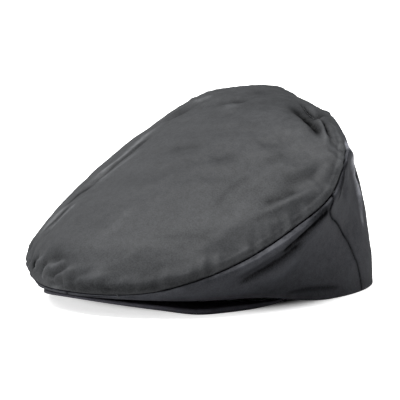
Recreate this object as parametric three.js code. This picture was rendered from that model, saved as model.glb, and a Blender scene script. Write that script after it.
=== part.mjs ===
// Flat cap of waxed cotton: a one-piece top that rolls over two side panels and two back panels,
// with a stiff cloth-covered peak under the nose.
// Millimetres, +Z up, the peak points to -Y and the wearer's left is +X. The hem stands on z = 0.
import * as THREE from 'three';

// Driving sizes
const HEAD = { halfLength: 102.2, halfWidth: 83.4 };  // outside of the hem oval, for a 58 cm head
const HUB_Y = -25;                                  // directions and reaches are taken from this upright line
const ORIGIN_Y = 25.05;                             // moves the middle of the whole length to y = 0
const CLOTH = 1.8;                                  // shell and lining of a panel together
const SEAM_GAP = 0.3;                               // clearance between neighbouring pieces
const CROWN = { middleHeight: 110.4, slope: 0.469, doming: 2.2, rollDepth: 14 };
const GRID = { directions: 96, innerRings: 9, rollRings: 5, wallRows: 9, peakColumns: 42 };
const ROLL_START = 0.75;                            // share of the way from the middle to the seam

// Seam round the top panel, a row per direction. Direction is in degrees from the front towards the
// wearer's left; reach and height place the seam; roll is how high the rim of the top stands above it;
// out and up lead the wall away from the seam.
const SEAM_ROWS = [
  { direction: -165, reach: 107.0, height: 126.4, roll: 0.4, out: 8.0, up: 1.0 },
  { direction: -150, reach: 92.5, height: 125.6, roll: 3.0, out: 8.0, up: 1.0 },
  { direction: -135, reach: 88.5, height: 121.2, roll: 3.0, out: 8.0, up: 2.0 },
  { direction: -120, reach: 89.5, height: 106.3, roll: 4.5, out: 9.0, up: 3.5 },
  { direction: -105, reach: 96.5, height: 87.2, roll: 4.6, out: 10.0, up: 5.4 },
  { direction: -90, reach: 101.9, height: 67.8, roll: 5.4, out: 12.0, up: 1.0 },
  { direction: -72, reach: 102.3, height: 49.7, roll: 9.0, out: 12.0, up: -4.0 },
  { direction: -54, reach: 108.0, height: 36.2, roll: 9.6, out: 9.0, up: -3.5 },
  { direction: -38, reach: 117.5, height: 26.0, roll: 9.6, out: 5.5, up: -1.5 },
  { direction: -25, reach: 121.6, height: 17.6, roll: 15.3, out: -0.2, up: -1.4 },
  { direction: -12, reach: 126.0, height: 13.7, roll: 18.0, out: -0.4, up: -1.0 },
  { direction: 0, reach: 127.3, height: 13.2, roll: 19.2, out: -0.2, up: -0.8 },
  { direction: 12, reach: 126.0, height: 13.4, roll: 18.6, out: -0.4, up: -1.0 },
  { direction: 25, reach: 121.4, height: 15.4, roll: 15.5, out: -0.2, up: -1.2 },
  { direction: 38, reach: 117.5, height: 22.4, roll: 10.7, out: 6.0, up: -1.5 },
  { direction: 54, reach: 108.0, height: 34.0, roll: 8.8, out: 9.5, up: -3.5 },
  { direction: 72, reach: 102.4, height: 50.4, roll: 8.0, out: 12.5, up: -4.0 },
  { direction: 90, reach: 101.9, height: 69.0, roll: 6.2, out: 12.5, up: 1.0 },
  { direction: 105, reach: 95.6, height: 90.0, roll: 5.2, out: 10.0, up: 5.4 },
  { direction: 120, reach: 86.8, height: 101.6, roll: 4.9, out: 8.8, up: 3.4 },
  { direction: 135, reach: 82.6, height: 106.4, roll: 4.1, out: 8.0, up: 1.8 },
  { direction: 150, reach: 86.2, height: 108.3, roll: 3.1, out: 8.0, up: 0.4 },
  { direction: 165, reach: 96.2, height: 110.4, roll: 1.9, out: 8.0, up: 0.4 },
  { direction: 180, reach: 108.4, height: 109.7, roll: 5.4, out: 8.8, up: 1.0 },
];

// Lower edge of the walls, alike on both sides. Behind 95 degrees it is the hem oval. Belly is how far
// the wall stands out over its edge; lift is the height of that belly as a share of the wall.
const EDGE_ROWS = [
  { direction: 0, reach: 126.6, height: 11.4, belly: 0.0, lift: 0.3 },
  { direction: 14, reach: 123.6, height: 11.2, belly: 0.2, lift: 0.3 },
  { direction: 27, reach: 114.5, height: 10.2, belly: 2.5, lift: 0.15 },
  { direction: 38, reach: 103.5, height: 8.9, belly: 7.0, lift: 0.06 },
  { direction: 50, reach: 93.5, height: 8.1, belly: 8.5, lift: 0.08 },
  { direction: 65, reach: 85.0, height: 6.7, belly: 5.0, lift: 0.25 },
  { direction: 80, reach: 81.2, height: 3.6, belly: 1.0, lift: 0.42 },
  { direction: 95, reach: 81.0, height: 0.8, belly: 0.0, lift: 0.5 },
  { direction: 105, reach: 83.5, height: 0.0, belly: 0.0, lift: 0.5 },
  { direction: 180, reach: 126.5, height: 0.0, belly: 0.0, lift: 0.5 },
];

// Slanting seam between side and back panel: its direction down the wall, from top (1) to hem (2).
const SIDE_BACK_ROWS = [
  { along: 1.0, direction: 90 },
  { along: 1.37, direction: 90.5 },
  { along: 1.57, direction: 99.5 },
  { along: 1.67, direction: 107.5 },
  { along: 1.78, direction: 117.5 },
  { along: 1.88, direction: 124 },
  { along: 2.0, direction: 128 },
];

// Peak: outer edge, its underside height, and the thickness of the covered board.
const PEAK_ROWS = [
  { direction: 0, reach: 125.4, height: 9.2, thick: 1.9, inner: 76.0 },
  { direction: 14, reach: 119.0, height: 6.9, thick: 2.4, inner: 75.5 },
  { direction: 27, reach: 111.6, height: 3.7, thick: 3.0, inner: 74.5 },
  { direction: 38, reach: 104.2, height: 0.5, thick: 3.4, inner: 73.5 },
  { direction: 50, reach: 93.5, height: 0.0, thick: 3.6, inner: 73.0 },
  { direction: 65, reach: 82.8, height: 0.3, thick: 3.0, inner: 74.0 },
  { direction: 72, reach: 80.3, height: 1.1, thick: 2.4, inner: 74.6 },
  { direction: 80, reach: 77.6, height: 2.3, thick: 1.6, inner: 75.5 },
];

// Folds and dents: a line on the skin from one point to another, each given by its direction and its
// way along (0 middle of the top, 1 seam, 2 hem), with half its width and its height (sunk if negative).
const FOLD_ROWS = [
  { name: 'rear pucker ridge', from: [128, 0.74], to: [105, 0.8], half: 4.5, height: 2.0 },
  { name: 'rear pucker groove', from: [124, 0.84], to: [108, 0.86], half: 4.0, height: -2.2 },
  { name: 'rear pinch', from: [146, 0.68], to: [116, 0.66], half: 6.5, height: -3.0 },
  { name: 'crown top dent', from: [-168, 0.5], to: [178, 0.4], half: 7.0, height: -1.4 },
  { name: 'left rim fold', from: [80, 0.79], to: [62, 0.76], half: 6.0, height: -1.8 },
  { name: 'left upper fold', from: [98, 0.84], to: [82, 0.74], half: 6.0, height: -1.6 },
  { name: 'right rim fold', from: [-32, 0.54], to: [-52, 0.34], half: 8.0, height: 1.4 },
  { name: 'nose gather 1', from: [-24, 0.88], to: [-11, 0.95], half: 4.0, height: -2.4 },
  { name: 'nose gather 2', from: [-18, 0.82], to: [-5, 0.93], half: 4.0, height: 1.6 },
  { name: 'nose gather 3', from: [-7, 0.85], to: [6, 0.93], half: 4.5, height: -1.6 },
  { name: 'side hollow upper', from: [84, 1.46], to: [69, 1.48], half: 9.0, height: -3.4 },
  { name: 'side hollow lower', from: [69, 1.48], to: [53, 1.52], half: 6.0, height: -2.0 },
  { name: 'right side hollow', from: [-84, 1.46], to: [-58, 1.5], half: 9.0, height: -2.6 },
  { name: 'back buckle upper', from: [118, 1.3], to: [125, 1.46], half: 6.0, height: 1.8 },
  { name: 'back buckle lower', from: [125, 1.46], to: [135, 1.7], half: 6.0, height: 1.8 },
  { name: 'right back buckle', from: [-125, 1.2], to: [-140, 1.6], half: 8.0, height: 1.8 },
];

const COLOURS = {
  top: { color: 0x5d6064, roughness: 0.62, metalness: 0 },
  side: { color: 0x2f323a, roughness: 0.66, metalness: 0 },
  peak: { color: 0x17181d, roughness: 0.7, metalness: 0 },
};

const radians = degrees => degrees * Math.PI / 180;

const smooth = x => {
  const t = Math.min(1, Math.max(0, x));
  return t * t * (3 - 2 * t);
};

// Smooth curve through the rows: each stretch is a cubic whose slopes come from the neighbouring rows.
function curveThrough(rows, key, column, at) {
  const last = rows.length - 1;
  let k = 0;
  while (k < last - 1 && rows[k + 1][key] <= at) k += 1;
  const step = i => rows[i + 1][key] - rows[i][key];
  const rise = i => (rows[i + 1][column] - rows[i][column]) / step(i);
  const slope = i => {
    if (i === 0 || i === last) return 0;
    return (step(i) * rise(i - 1) + step(i - 1) * rise(i)) / (step(i) + step(i - 1));
  };
  const t = (at - rows[k][key]) / step(k);
  const h00 = 2 * t ** 3 - 3 * t ** 2 + 1;
  const h10 = t ** 3 - 2 * t ** 2 + t;
  const h01 = 3 * t ** 2 - 2 * t ** 3;
  const h11 = t ** 3 - t ** 2;
  const ends = h00 * rows[k][column] + h01 * rows[k + 1][column];
  return ends + step(k) * (h10 * slope(k) + h11 * slope(k + 1));
}

// The seam rows closed into a ring, three rows past either end.
const SEAM_RING = [
  ...SEAM_ROWS.slice(-3).map(row => ({ ...row, direction: row.direction - 360 })),
  ...SEAM_ROWS,
  ...SEAM_ROWS.slice(0, 3).map(row => ({ ...row, direction: row.direction + 360 })),
];

const turned = direction => ((direction + 180) % 360 + 360) % 360 - 180;
const seam = (column, direction) => curveThrough(SEAM_RING, 'direction', column, turned(direction));
const edge = (column, direction) => curveThrough(EDGE_ROWS, 'direction', column, Math.abs(turned(direction)));

// Distance from the hub to the hem oval in a direction.
function hemReach(direction) {
  const across = Math.sin(radians(direction)) / HEAD.halfWidth;
  const along = -Math.cos(radians(direction)) / HEAD.halfLength;
  const offset = HUB_Y / HEAD.halfLength;
  const a = across ** 2 + along ** 2;
  const b = 2 * offset * along;
  const c = offset ** 2 - 1;
  return (-b + Math.sqrt(b * b - 4 * a * c)) / (2 * a);
}

function lowerEdge(direction) {
  const away = Math.abs(turned(direction));
  const hem = smooth((away - 70) / 25);
  return {
    reach: (1 - hem) * edge('reach', away) + hem * hemReach(away),
    height: away >= 105 ? 0 : edge('height', away),
    belly: away >= 95 ? 0 : edge('belly', away),
    lift: edge('lift', away),
  };
}

const inDirection = (direction, reach, height) => new THREE.Vector3(
  Math.sin(radians(direction)) * reach,
  HUB_Y - Math.cos(radians(direction)) * reach,
  height,
);

// Top panel before folding: a dome over the hub that ends in a quarter-round roll down to the seam.
function topPoint(direction, along) {
  const reach = seam('reach', direction);
  const roll = seam('roll', direction);
  const lean = -CROWN.slope * Math.cos(radians(direction));
  const turn = Math.min(1, (1 - along) / (1 - ROLL_START)) * Math.PI / 2;
  const inner = (reach - CROWN.rollDepth) * along / ROLL_START;
  const r = along > ROLL_START ? reach - CROWN.rollDepth * (1 - Math.cos(turn)) : inner;
  const rim = seam('height', direction) + roll - CROWN.middleHeight - lean * reach;
  const dome = CROWN.middleHeight + lean * r + rim * (r / reach) ** CROWN.doming;
  return inDirection(direction, r, dome - roll * (1 - Math.sin(turn)));
}

// Side and back walls before folding: a cubic from the seam, out over its puff and down to the edge.
function wallPoint(direction, along) {
  const t = along - 1;
  const low = lowerEdge(direction);
  const reach = seam('reach', direction);
  const height = seam('height', direction);
  const weights = [(1 - t) ** 3, 3 * (1 - t) ** 2 * t, 3 * (1 - t) * t ** 2, t ** 3];
  const reaches = [reach, reach + seam('out', direction), low.reach + low.belly, low.reach];
  const bellyHeight = low.height + low.lift * (height - low.height);
  const heights = [height, height + seam('up', direction), bellyHeight, low.height];
  const mix = values => values.reduce((sum, value, i) => sum + value * weights[i], 0);
  return inDirection(direction, mix(reaches), mix(heights));
}

const skinPoint = (direction, along) => (along > 1 ? wallPoint(direction, along) : topPoint(direction, along));

// Direction square to the skin, pointing out of the cap.
function outward(point, direction, along, low, high) {
  const step = 0.1;
  const a = Math.max(low, along - step);
  const b = Math.min(high, along + step);
  const down = point(direction, b).sub(point(direction, a));
  const round = point(direction + 0.5, along).sub(point(direction - 0.5, along));
  return round.cross(down).negate().normalize();
}

const FOLDS = FOLD_ROWS.map(row => {
  const start = skinPoint(...row.from);
  const run = skinPoint(...row.to).sub(start);
  return { ...row, start, run, onTop: row.from[1] < 1 };
});

// Height of all folds at a place: each fades smoothly to its sides and beyond its ends, and where the
// place lies more than 10 mm above or under it, as on the far side of the cap.
function foldHeight(place, normal, onTop) {
  let sum = 0;
  for (const fold of FOLDS) {
    if (fold.onTop !== onTop) continue;
    const offset = place.clone().sub(fold.start);
    const share = Math.min(1, Math.max(0, offset.dot(fold.run) / fold.run.lengthSq()));
    offset.addScaledVector(fold.run, -share);
    const depth = offset.dot(normal);
    offset.addScaledVector(normal, -depth);
    const beyond = Math.max(0, Math.abs(depth) - 10);
    sum += fold.height * Math.exp(-(offset.lengthSq() + beyond ** 2) / fold.half ** 2);
  }
  return sum;
}

// Outer and inner skin of the top at one place. The folds die out before the seam.
function topPair(direction, along) {
  const place = topPoint(direction, along);
  const radial = inDirection(direction, 1, 0).sub(inDirection(direction, 0, 0));
  const turn = Math.min(1, (1 - along) / (1 - ROLL_START)) * Math.PI / 2;
  const inward = radial.multiplyScalar(-Math.cos(turn)).add(new THREE.Vector3(0, 0, -Math.sin(turn)));
  const normal = inward.clone().negate();
  const fade = smooth((1 - along) / 0.08);
  place.addScaledVector(normal, fade * foldHeight(place, normal, true));
  place.z += SEAM_GAP * (1 - fade);
  return [place, place.clone().addScaledVector(inward, CLOTH)];
}

// Outer and inner skin of a wall at one place. The cloth's thickness is laid off downwards under the
// puff, level in the middle and upwards where the wall turns in under its belly.
function wallPair(direction, along) {
  const place = wallPoint(direction, along);
  const normal = outward(wallPoint, direction, along, 1, 2);
  const fade = smooth((along - 1) / 0.1) * smooth((2 - along) / 0.1);
  place.addScaledVector(normal, fade * foldHeight(place, normal, false));
  const puff = smooth(seam('out', direction) / 6) * (1 - smooth((along - 1) / 0.4));
  const tuck = smooth(lowerEdge(direction).belly / 6) * smooth((along - 1.6) / 0.4);
  const tilt = radians(75) * (puff - tuck);
  const level = inDirection(direction, CLOTH * Math.cos(tilt), 0).sub(inDirection(direction, 0, 0));
  const inner = place.clone().sub(level);
  inner.z -= CLOTH * Math.sin(tilt);
  return [place, inner];
}

// A closed solid from two skins on the same grid: rows by columns of [outer, inner] pairs.
// A ring grid closes on itself and starts at a single middle point.
function solidFromSkins(pairs, ring) {
  const rows = pairs.length;
  const columns = pairs[0].length;
  const positions = [];
  const faces = [];
  const number = (side, i, j) => (side * rows + i) * columns + (ring ? j % columns : j);
  for (const side of [0, 1]) {
    for (const row of pairs) {
      for (const pair of row) positions.push(pair[side].x, pair[side].y + ORIGIN_Y, pair[side].z);
    }
  }
  const quad = (a, b, c, d) => faces.push(a, b, c, a, c, d);
  const across = ring ? columns : columns - 1;
  for (let i = 0; i < rows - 1; i += 1) {
    for (let j = 0; j < across; j += 1) {
      if (ring && i === 0) {
        faces.push(number(0, 0, 0), number(0, 1, j), number(0, 1, j + 1));
        faces.push(number(1, 0, 0), number(1, 1, j + 1), number(1, 1, j));
      } else {
        quad(number(0, i, j), number(0, i + 1, j), number(0, i + 1, j + 1), number(0, i, j + 1));
        quad(number(1, i, j), number(1, i, j + 1), number(1, i + 1, j + 1), number(1, i + 1, j));
      }
    }
  }
  const end = rows - 1;
  for (let j = 0; j < across; j += 1) {
    quad(number(0, end, j), number(1, end, j), number(1, end, j + 1), number(0, end, j + 1));
    if (!ring) quad(number(0, 0, j), number(0, 0, j + 1), number(1, 0, j + 1), number(1, 0, j));
  }
  if (!ring) {
    for (let i = 0; i < end; i += 1) {
      quad(number(0, i, 0), number(1, i, 0), number(1, i + 1, 0), number(0, i + 1, 0));
      quad(number(0, i, across), number(0, i + 1, across), number(1, i + 1, across), number(1, i, across));
    }
  }
  return { positions, faces };
}

function meshFrom({ positions, faces }, name, look) {
  const geometry = new THREE.BufferGeometry();
  geometry.setAttribute('position', new THREE.Float32BufferAttribute(positions, 3));
  geometry.setIndex(faces);
  geometry.computeVertexNormals();
  const mesh = new THREE.Mesh(geometry, new THREE.MeshStandardMaterial(look));
  mesh.name = name;
  return mesh;
}

const steps = (count, from, to) => Array.from({ length: count + 1 }, (_, i) => from + (to - from) * i / count);

function topPanel() {
  const rings = [
    ...steps(GRID.innerRings, 0, ROLL_START).slice(0, -1),
    ...steps(GRID.rollRings, ROLL_START, 1),
  ];
  const directions = steps(GRID.directions, 0, 360).slice(0, -1);
  const pairs = rings.map(along => directions.map(direction => topPair(direction, along)));
  return meshFrom(solidFromSkins(pairs, true), 'top_panel', COLOURS.top);
}

// A wall panel between two bounds given as functions of the way down; sign mirrors it to the right.
// Half the seam gap comes off at either side, as an angle at the walls' usual reach of 90 mm.
function wallPanel(name, sign, firstBound, lastBound) {
  const columns = GRID.directions / 4;
  const rows = steps(GRID.wallRows, 0, 1).map(share => 1 + share ** 1.25);
  const pairs = rows.map(along => steps(columns, 0, 1).map(share => {
    const first = firstBound(along);
    const last = lastBound(along);
    const inset = SEAM_GAP / 2 / radians(90);
    const direction = first + (last - first) * share;
    const nudge = share === 0 ? inset : share === 1 ? -inset : 0;
    return wallPair(sign * (direction + nudge), along);
  }));
  const ordered = sign > 0 ? pairs : pairs.map(row => row.reverse());
  return meshFrom(solidFromSkins(ordered, false), name, COLOURS.side);
}

const sideBack = along => curveThrough(SIDE_BACK_ROWS, 'along', 'direction', along);

function sidePanel(name, sign) {
  return wallPanel(name, sign, () => 0, sideBack);
}

function backPanel(name, sign) {
  return wallPanel(name, sign, sideBack, () => 180);
}

// Peak: a covered board with a rounded rim, swept round the front of the head oval.
function peak() {
  const reachEnd = 79;
  const of = (column, direction) => curveThrough(PEAK_ROWS, 'direction', column, Math.abs(direction));
  const section = direction => {
    const outer = of('reach', direction);
    const inner = of('inner', direction);
    const under = Math.max(0, of('height', direction));
    const thick = of('thick', direction);
    const flat = steps(4, inner, outer - thick / 2);
    const top = flat.map(r => inDirection(direction, r, under + thick));
    const rim = [60, 20, -20, -60].map(tilt => inDirection(
      direction,
      outer - thick / 2 * (1 - Math.cos(radians(tilt))),
      under + thick / 2 * (1 + Math.sin(radians(tilt))),
    ));
    const bottom = flat.reverse().map(r => inDirection(direction, r, under));
    return [...top, ...rim, ...bottom];
  };
  const loops = steps(GRID.peakColumns, -reachEnd, reachEnd).map(section);
  const size = loops[0].length;
  const positions = loops.flat().flatMap(p => [p.x, p.y + ORIGIN_Y, p.z]);
  const faces = [];
  for (let i = 0; i < loops.length - 1; i += 1) {
    for (let j = 0; j < size; j += 1) {
      const a = i * size + j;
      const b = i * size + (j + 1) % size;
      faces.push(a, b, b + size, a, b + size, a + size);
    }
  }
  for (const [loop, turn] of [[0, true], [loops.length - 1, false]]) {
    for (let j = 0; j < size / 2 - 1; j += 1) {
      const a = loop * size + j;
      const b = loop * size + j + 1;
      const c = loop * size + size - 2 - j;
      const d = loop * size + size - 1 - j;
      if (turn) faces.push(a, d, c, a, c, b);
      else faces.push(a, c, d, a, b, c);
    }
  }
  return meshFrom({ positions, faces }, 'peak', COLOURS.peak);
}

const cap = new THREE.Group();
cap.name = 'flat_cap';
cap.add(
  topPanel(),
  sidePanel('side_panel_left', 1),
  sidePanel('side_panel_right', -1),
  backPanel('back_panel_left', 1),
  backPanel('back_panel_right', -1),
  peak(),
);

export default cap;
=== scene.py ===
import math

import bmesh
import bpy
import numpy as np
from bpy.props import FloatProperty, FloatVectorProperty, IntProperty, PointerProperty
from bpy.types import Operator, Panel, PropertyGroup
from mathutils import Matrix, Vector


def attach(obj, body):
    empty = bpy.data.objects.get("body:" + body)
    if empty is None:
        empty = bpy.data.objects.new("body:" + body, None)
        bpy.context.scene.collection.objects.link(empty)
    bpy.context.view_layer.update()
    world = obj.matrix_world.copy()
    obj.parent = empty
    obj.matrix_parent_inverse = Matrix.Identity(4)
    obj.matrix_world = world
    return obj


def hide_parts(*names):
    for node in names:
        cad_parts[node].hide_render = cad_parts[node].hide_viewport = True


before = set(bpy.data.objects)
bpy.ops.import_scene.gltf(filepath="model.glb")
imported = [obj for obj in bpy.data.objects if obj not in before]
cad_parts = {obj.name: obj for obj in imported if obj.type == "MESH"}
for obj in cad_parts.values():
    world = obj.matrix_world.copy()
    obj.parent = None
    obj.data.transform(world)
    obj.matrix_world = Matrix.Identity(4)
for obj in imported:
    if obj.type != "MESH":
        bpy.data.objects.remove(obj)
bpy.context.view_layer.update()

bl_info = {
    "name": "Flat cap of waxed cotton",
    "version": (1, 0, 0),
    "blender": (4, 5, 0),
    "location": "3D View > Sidebar > Cap",
    "description": "Builds the cloth panels, the peak and the stitching of a flat cap, and a stage for it",
    "category": "Add Mesh",
}

MM = 0.001


def table(columns, rows):
    """Rows of numbers as one array for each named column."""
    return dict(zip(columns.split(), np.array(rows, float).T))


# All tables are in millimetres and degrees. Directions go from the front (-Y) towards the wearer's
# left (+X), round an upright hub line. Along is 0 at the middle of the top, 1 at its seam, 2 at the hem.
HUB_Y = 0.05
# The hem's oval: half its length, half its width, and the hub's place from its middle.
HEM_OVAL = {"length": 102.2, "width": 83.4, "hub": -25.0}
# The top: its height at the hub, its slope up to the rear, the power by which its dome falls, and its
# rolled rim's depth and the way along at which the roll starts.
CROWN = {"height": 110.4, "slope": 0.469, "doming": 2.2, "roll_depth": 14.0, "roll_start": 0.75}

# The top's seam: how far from the hub line and how high it lies, how high the roll stands above it, and
# how far out and up the wall's curve sets off from it.
SEAM = table("direction reach height roll out up", (
    (-165, 107.0, 126.4, 0.4, 8.0, 1.0),
    (-150, 92.5, 125.6, 3.0, 8.0, 1.0),
    (-135, 88.5, 121.2, 3.0, 8.0, 2.0),
    (-120, 89.5, 106.3, 4.5, 9.0, 3.5),
    (-105, 96.5, 87.2, 4.6, 10.0, 5.4),
    (-90, 101.9, 67.8, 5.4, 12.0, 1.0),
    (-72, 102.3, 49.7, 9.0, 12.0, -4.0),
    (-54, 108.0, 36.2, 9.6, 9.0, -3.5),
    (-38, 117.5, 26.0, 9.6, 5.5, -1.5),
    (-25, 121.6, 17.6, 15.3, -0.2, -1.4),
    (-12, 126.0, 13.7, 18.0, -0.4, -1.0),
    (0, 127.3, 13.2, 19.2, -0.2, -0.8),
    (12, 126.0, 13.4, 18.6, -0.4, -1.0),
    (25, 121.4, 15.4, 15.5, -0.2, -1.2),
    (38, 117.5, 22.4, 10.7, 6.0, -1.5),
    (54, 108.0, 34.0, 8.8, 9.5, -3.5),
    (72, 102.4, 50.4, 8.0, 12.5, -4.0),
    (90, 101.9, 69.0, 6.2, 12.5, 1.0),
    (105, 95.6, 90.0, 5.2, 10.0, 5.4),
    (120, 86.8, 101.6, 4.9, 8.8, 3.4),
    (135, 82.6, 106.4, 4.1, 8.0, 1.8),
    (150, 86.2, 108.3, 3.1, 8.0, 0.4),
    (165, 96.2, 110.4, 1.9, 8.0, 0.4),
    (180, 108.4, 109.7, 5.4, 8.8, 1.0),
))
# The walls' lower edge in front of the oval. The belly is how far out the wall's curve comes down to it,
# and lift the share of the wall's height from which it does.
LOWER_EDGE = table("direction reach height belly lift", (
    (0, 126.6, 11.4, 0.0, 0.3),
    (14, 123.6, 11.2, 0.2, 0.3),
    (27, 114.5, 10.2, 2.5, 0.15),
    (38, 103.5, 8.9, 7.0, 0.06),
    (50, 93.5, 8.1, 8.5, 0.08),
    (65, 85.0, 6.7, 5.0, 0.25),
    (80, 81.2, 3.6, 1.0, 0.42),
    (95, 81.0, 0.8, 0.0, 0.5),
    (105, 83.5, 0.0, 0.0, 0.5),
    (180, 126.5, 0.0, 0.0, 0.5),
))
SIDE_BACK_SEAM = table("along direction", (
    (1.0, 90), (1.37, 90.5), (1.57, 99.5), (1.67, 107.5), (1.78, 117.5), (1.88, 124), (2.0, 128),
))
# The peak's rim, its thickness and how near the hub line it reaches inwards.
PEAK = table("direction reach height thick inner", (
    (0, 125.4, 9.2, 1.9, 76.0),
    (14, 119.0, 6.9, 2.4, 75.5),
    (27, 111.6, 3.7, 3.0, 74.5),
    (38, 104.2, 0.5, 3.4, 73.5),
    (50, 93.5, 0.0, 3.6, 73.0),
    (65, 82.8, 0.3, 3.0, 74.0),
    (72, 80.3, 1.1, 2.4, 74.6),
    (80, 77.6, 2.3, 1.6, 75.5),
))

# Folds and dents: name, half width, height (sunk if negative), and the places that the line runs
# through, each a direction and a way along. They die down at both ends of the line.
TOP_FOLDS = (
    ("rear pucker ridge", 2.3, 2.8, ((127, 0.745), (117, 0.763), (104, 0.78))),
    ("rear pucker groove", 2.3, -3.6, ((126, 0.784), (116, 0.792), (107, 0.805))),
    ("rear pinch", 5.2, -4.6, ((150, 0.628), (130, 0.645), (118, 0.69), (110, 0.74))),
    ("rear pinch end", 3.6, -2.2, ((122, 0.65), (113, 0.69), (107, 0.744))),
    ("rear pinch lip", 3.0, 1.6, ((140, 0.6), (126, 0.6), (114, 0.64), (106, 0.69))),
    ("rear notch seam", 1.8, -2.4, ((162, 0.655), (150, 0.698), (138, 0.718), (127, 0.728))),
    ("rear notch seam 2", 1.8, -2.4, ((124, 0.724), (131, 0.765), (143, 0.845), (146, 0.9))),
    ("rear notch lip", 2.6, 1.6, ((158, 0.735), (148, 0.765), (140, 0.76))),
    ("crown top dent", 7.0, -1.4, ((-168, 0.5), (-176, 0.47), (178, 0.38))),
    ("crown front dent", 5.0, -1.8, ((-150, 0.24), (-168, 0.26), (168, 0.28))),
    ("crown front swell", 6.0, 1.2, ((-168, 0.13), (176, 0.16), (148, 0.22))),
    ("left rim fold", 4.2, -2.1, ((84, 0.8), (72, 0.762), (60, 0.735))),
    ("left rim swell", 4.2, 1.4, ((86, 0.86), (74, 0.815), (62, 0.785))),
    ("left upper fold", 4.4, -2.1, ((99, 0.8), (88, 0.759), (80, 0.73), (70, 0.69))),
    ("left middle fold", 5.0, -1.5, ((99, 0.735), (89, 0.67), (80, 0.63))),
    ("left middle swell", 6.0, 1.2, ((96, 0.78), (90, 0.715), (80, 0.675))),
    ("left inner fold", 6.0, -1.3, ((103, 0.545), (90, 0.481), (78, 0.45))),
    ("middle fold 1", 6.5, -1.2, ((66, 0.4), (54, 0.37), (42, 0.345))),
    ("middle fold 2", 6.5, -1.0, ((40, 0.19), (10, 0.185), (-8, 0.215))),
    ("right lower rim groove", 3.5, -1.6, ((-23, 0.84), (-27, 0.76), (-31, 0.67))),
    ("right rim groove", 3.4, -2.1, ((-36, 0.6), (-44, 0.53), (-53.5, 0.436), (-76, 0.33))),
    ("right crown hollow", 5.0, -1.9, ((-100, 0.47), (-110, 0.441), (-122, 0.37))),
    ("right crown ridge", 3.4, 1.4, ((-120, 0.535), (-130, 0.51), (-146, 0.48))),
    ("nose gather 1", 2.0, -1.8, ((-22, 0.88), (-20, 0.915), (-17, 0.955))),
    ("nose gather 2", 2.0, 1.7, ((-15, 0.865), (-18, 0.926), (-21, 0.965))),
    ("nose gather 3", 1.9, -2.0, ((-13, 0.87), (-13.6, 0.91), (-14.4, 0.955))),
    ("nose gather 4", 1.9, 1.7, ((-8, 0.89), (-10.5, 0.925), (-12.6, 0.97))),
    ("nose hollow", 4.2, -1.3, ((-15, 0.87), (-9, 0.86), (-3, 0.872))),
    ("nose gather 5", 2.0, 1.8, ((-9.5, 0.92), (-6, 0.89), (-2, 0.868))),
    ("nose gather 6", 2.0, -2.0, ((-9, 0.955), (-5.5, 0.931), (-1.5, 0.895))),
    ("nose gather 7", 2.0, 1.8, ((-7, 0.966), (-1.5, 0.926), (3.5, 0.89))),
    ("nose gather 8", 2.2, -1.4, ((-1, 0.972), (4, 0.93), (10, 0.89))),
    ("nose gather 9", 2.2, 1.1, ((6, 0.965), (10, 0.935), (17, 0.905))),
    ("front shoulder", 3.8, 2.8, (
        (-14, 0.92), (-5, 0.94), (4, 0.95), (14, 0.956), (24, 0.956), (36, 0.945), (54, 0.935))),
    ("front swell", 6.5, 1.8, (
        (-10, 0.905), (0, 0.91), (10, 0.915), (22, 0.918), (36, 0.915), (54, 0.92))),
    ("front roll crease", 2.6, -1.0, ((3, 0.975), (9, 0.978), (15, 0.98), (24, 0.985), (36, 0.985))),
    ("right nose gather 1", 2.4, -1.0, ((-34, 0.88), (-31, 0.92), (-29, 0.96))),
    ("right nose gather 2", 2.6, 0.9, ((-38, 0.86), (-38, 0.91), (-37, 0.955))),
    ("right nose gather 3", 3.0, -0.9, ((-50, 0.85), (-47, 0.9), (-45, 0.95))),
)
WALL_FOLDS = (
    ("side puff", 3.6, 1.2, (
        (38, 1.15), (48, 1.14), (58, 1.15), (68, 1.15), (77, 1.12), (86, 1.07))),
    ("side hollow", 5.4, -3.4, (
        (44, 1.48), (56, 1.46), (66, 1.44), (75, 1.39), (82, 1.29), (87, 1.18))),
    ("side fold", 2.4, -1.6, ((85, 1.42), (77, 1.47), (70, 1.5), (60, 1.53), (50, 1.56))),
    ("side swell", 6.5, 1.4, ((84, 1.6), (72, 1.64), (60, 1.68))),
    ("hem crease", 1.8, -1.5, ((80, 1.935), (93, 1.93), (99, 1.938), (112, 1.955))),
    ("hem crease 2", 3.0, -0.6, ((62, 1.9), (72, 1.91), (84, 1.89))),
    ("right side puff", 4.0, 1.0, ((-40, 1.16), (-54, 1.15), (-70, 1.14), (-84, 1.1))),
    ("right side hollow", 7.0, -2.6, ((-86, 1.42), (-72, 1.43), (-54, 1.42))),
    ("right side fold", 3.0, -0.9, ((-88, 1.56), (-74, 1.54), (-60, 1.59))),
    ("back buckle upper", 2.6, 2.6, (
        (114, 1.01), (110, 1.16), (114, 1.29), (119, 1.4), (124.5, 1.488))),
    ("back buckle lower", 3.0, 2.4, ((121, 1.43), (127, 1.53), (132, 1.61), (134.5, 1.72))),
    ("back buckle strip", 2.8, -2.6, ((119, 1.16), (124, 1.32), (131, 1.44), (140, 1.54))),
    ("back shade", 5.0, -2.2, ((98, 1.05), (101, 1.18), (105, 1.38), (112, 1.56))),
    ("back lower hollow", 8.0, -1.4, ((108, 1.7), (118, 1.69), (128, 1.76))),
    ("rear hollow left", 9.0, -1.8, ((148, 1.42), (160, 1.45), (172, 1.42))),
    ("right back buckle", 5.0, 1.7, ((-118, 1.15), (-128, 1.38), (-138, 1.6))),
    ("right back hollow", 7.0, -1.8, ((-128, 1.18), (-140, 1.36), (-152, 1.48))),
    ("rear hollow right", 9.0, -1.6, ((-158, 1.4), (-168, 1.48), (-176, 1.56))),
)
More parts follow.
